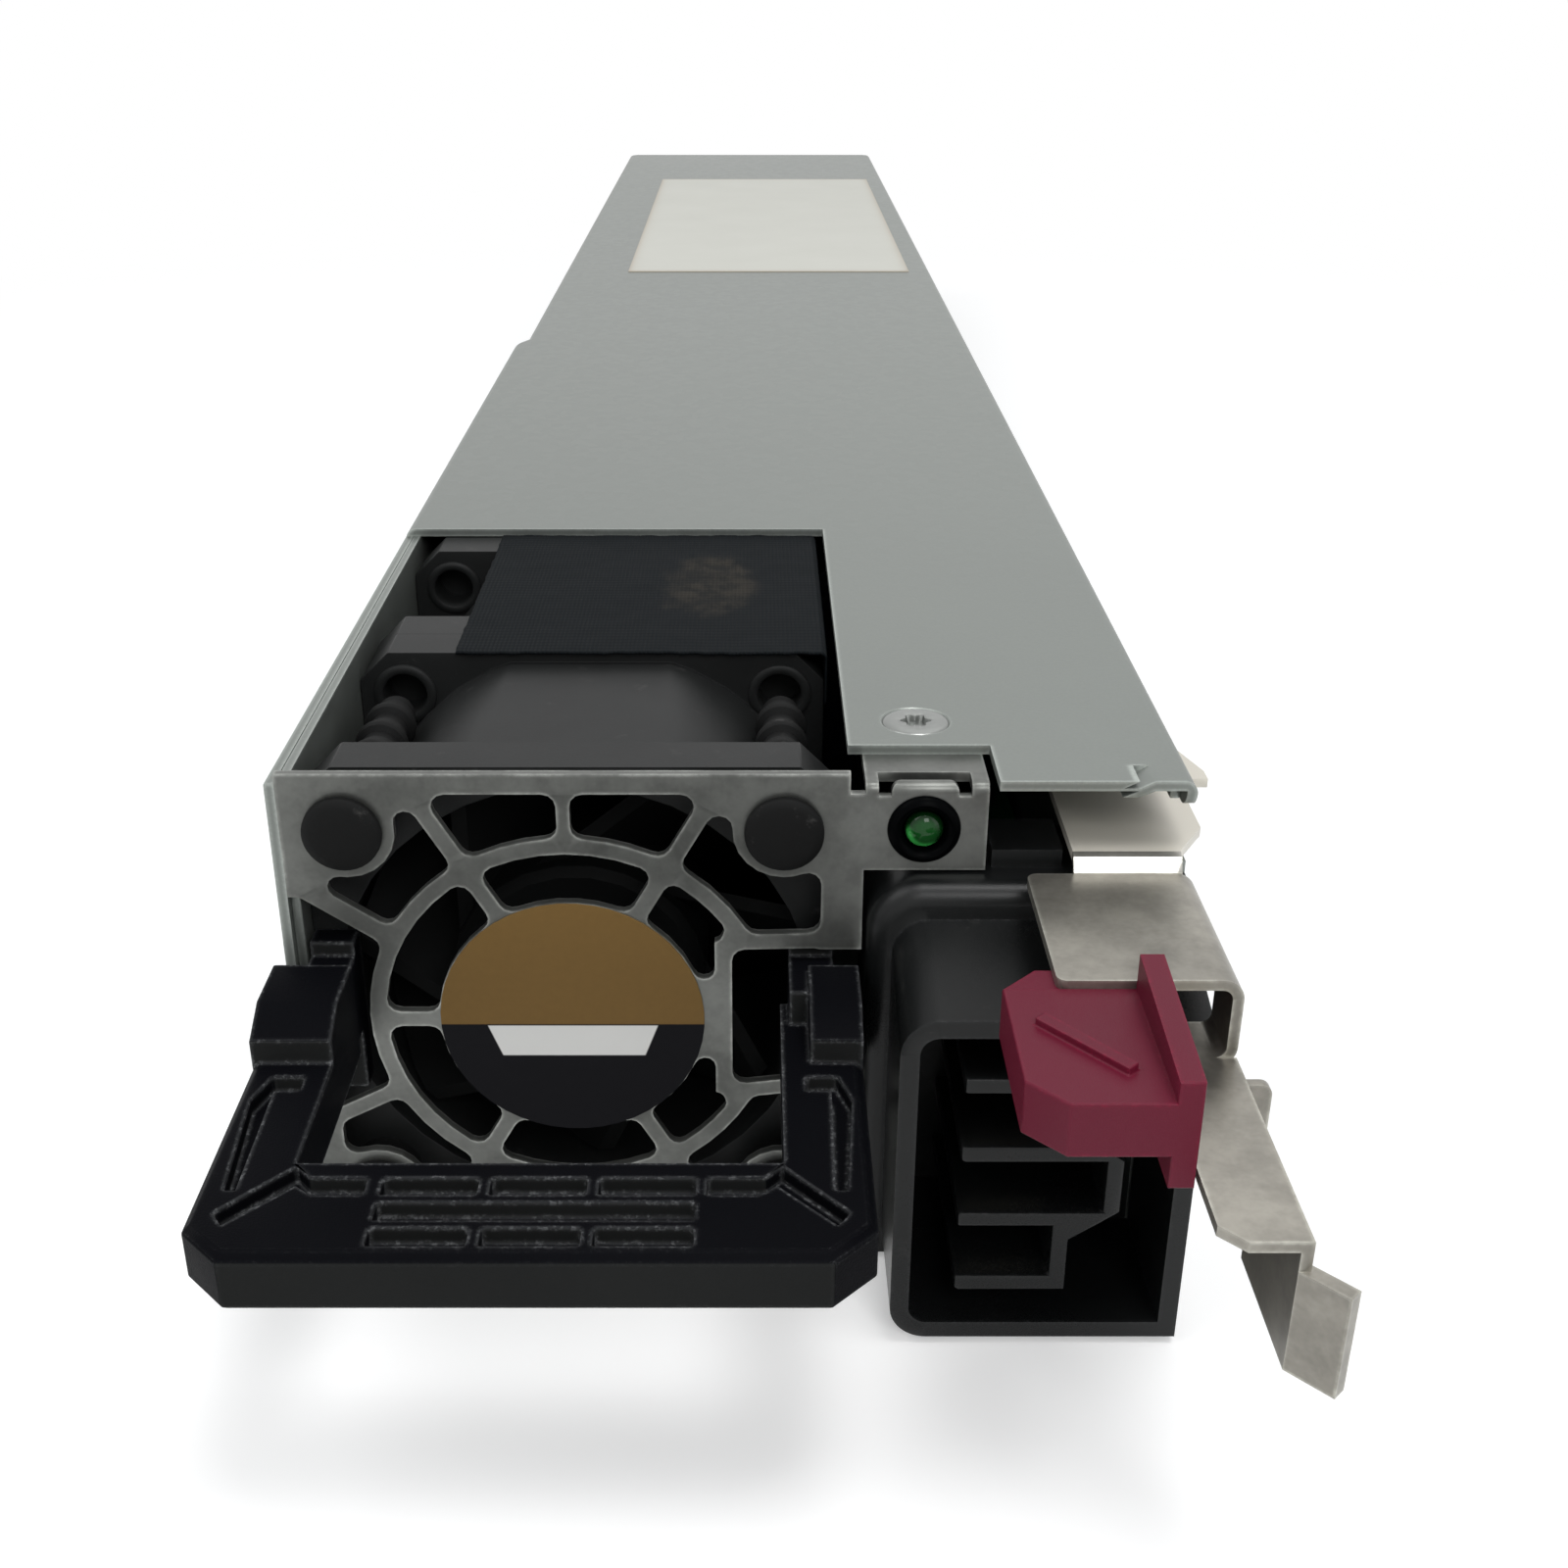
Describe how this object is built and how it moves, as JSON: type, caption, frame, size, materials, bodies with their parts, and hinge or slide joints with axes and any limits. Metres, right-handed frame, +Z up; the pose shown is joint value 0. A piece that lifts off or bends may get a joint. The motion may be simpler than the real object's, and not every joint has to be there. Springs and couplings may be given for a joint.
{
  "type": "hot swap server power supply",
  "caption": "Long flat power module with twin counter-rotating fans behind a front grille, pull handle, spring latch, mains inlet and card-edge output tongue.",
  "frame": {"origin": "centre of the case's base, half way between the front plate's face and the rear panel's face", "axes": "+Z up, +Y from the front with the fan grille, handle and mains inlet to the rear with the output tongue, +X to the right seen from the front"},
  "size_m": [0.0721, 0.4524, 0.0421],
  "materials": {
    "case_steel": "satin",
    "front_steel": "satin",
    "latch_steel": "satin",
    "screw_steel": "satin",
    "off_white": "matte",
    "label_brown": "satin",
    "fan_black": "satin",
    "rotor_black": "satin",
    "magnet_black": "matte",
    "bearing_bronze": "satin",
    "pin_rubber": "matte",
    "tape_black": "matte",
    "bezel_black": "gloss",
    "lens_clear": "gloss",
    "handle_black": "satin",
    "inlet_black": "satin",
    "insert_black": "satin",
    "contact_plated": "polished",
    "cap_crimson": "satin",
    "board_green": "satin",
    "insulator_white": "matte",
    "spacer_brass": "satin",
    "pad_gold": "polished",
    "choke_copper": "satin",
    "capacitor_sleeve": "gloss",
    "ferrite": "matte",
    "winding_tape": "satin",
    "sink_aluminium": "satin"
  },
  "bodies": {
    "case": {"board_screw_1": "screw_steel", "board_screw_2": "screw_steel", "board_screw_3": "screw_steel", "board_screw_4": "screw_steel", "board_spacer_1": "spacer_brass", "board_spacer_2": "spacer_brass", "board_spacer_3": "spacer_brass", "board_spacer_4": "spacer_brass", "bulk_capacitor_1": "capacitor_sleeve", "bulk_capacitor_2": "capacitor_sleeve", "bulk_capacitor_3": "capacitor_sleeve", "cover": "case_steel", "cover_screw": "screw_steel", "fan_frame_front": "fan_black", "fan_frame_rear": "fan_black", "fan_label": "label_brown", "fan_tape": "tape_black", "front_bearing": "bearing_bronze", "front_plate": "front_steel", "front_stator": "magnet_black", "handle": "handle_black", "heat_sink_left": "sink_aluminium", "heat_sink_right": "sink_aluminium", "inlet_contact_earth": "contact_plated", "inlet_contact_line": "contact_plated", "inlet_contact_neutral": "contact_plated", "inlet_insert": "insert_black", "inlet_shroud": "inlet_black", "insulator_sheet": "insulator_white", "lamp_bezel": "bezel_black", "lamp_lens": "lens_clear", "latch_bracket": "latch_steel", "latch_pin": "screw_steel", "latch_spring": "screw_steel", "line_choke": "choke_copper", "main_board": "board_green", "mounting_pin_bottom_left": "pin_rubber", "mounting_pin_bottom_right": "pin_rubber", "mounting_pin_top_left": "pin_rubber", "mounting_pin_top_right": "pin_rubber", "output_pads": "pad_gold", "rating_sticker": "off_white", "rear_bearing": "bearing_bronze", "rear_panel": "case_steel", "rear_stator": "magnet_black", "side_screw_left": "screw_steel", "side_screw_right": "screw_steel", "transformer_core": "ferrite", "transformer_winding": "winding_tape", "tray": "case_steel"},
    "latch": {"latch_lever": "latch_steel", "latch_cap": "cap_crimson"},
    "front_fan": {"front_rotor": "rotor_black", "front_shaft": "screw_steel", "front_magnet": "magnet_black"},
    "rear_fan": {"rear_rotor": "rotor_black", "rear_shaft": "screw_steel", "rear_magnet": "magnet_black"}
  },
  "joints": [
    {"name": "latch_pivot", "type": "hinge", "parent": "case", "child": "latch", "pos_m": [0.026, -0.1575, 0.03612], "axis": [0, 0, -1], "range_deg": [0, 7], "stiffness_Nm_per_rad": 0.5, "springref_deg": -5.73},
    {"name": "front_fan_spin", "type": "hinge", "parent": "case", "child": "front_fan", "pos_m": [-0.0129, -0.186, 0.0212], "axis": [0, 1, 0], "continuous": true},
    {"name": "rear_fan_spin", "type": "hinge", "parent": "case", "child": "rear_fan", "pos_m": [-0.0129, -0.158, 0.0212], "axis": [0, -1, 0], "continuous": true}
  ]
}
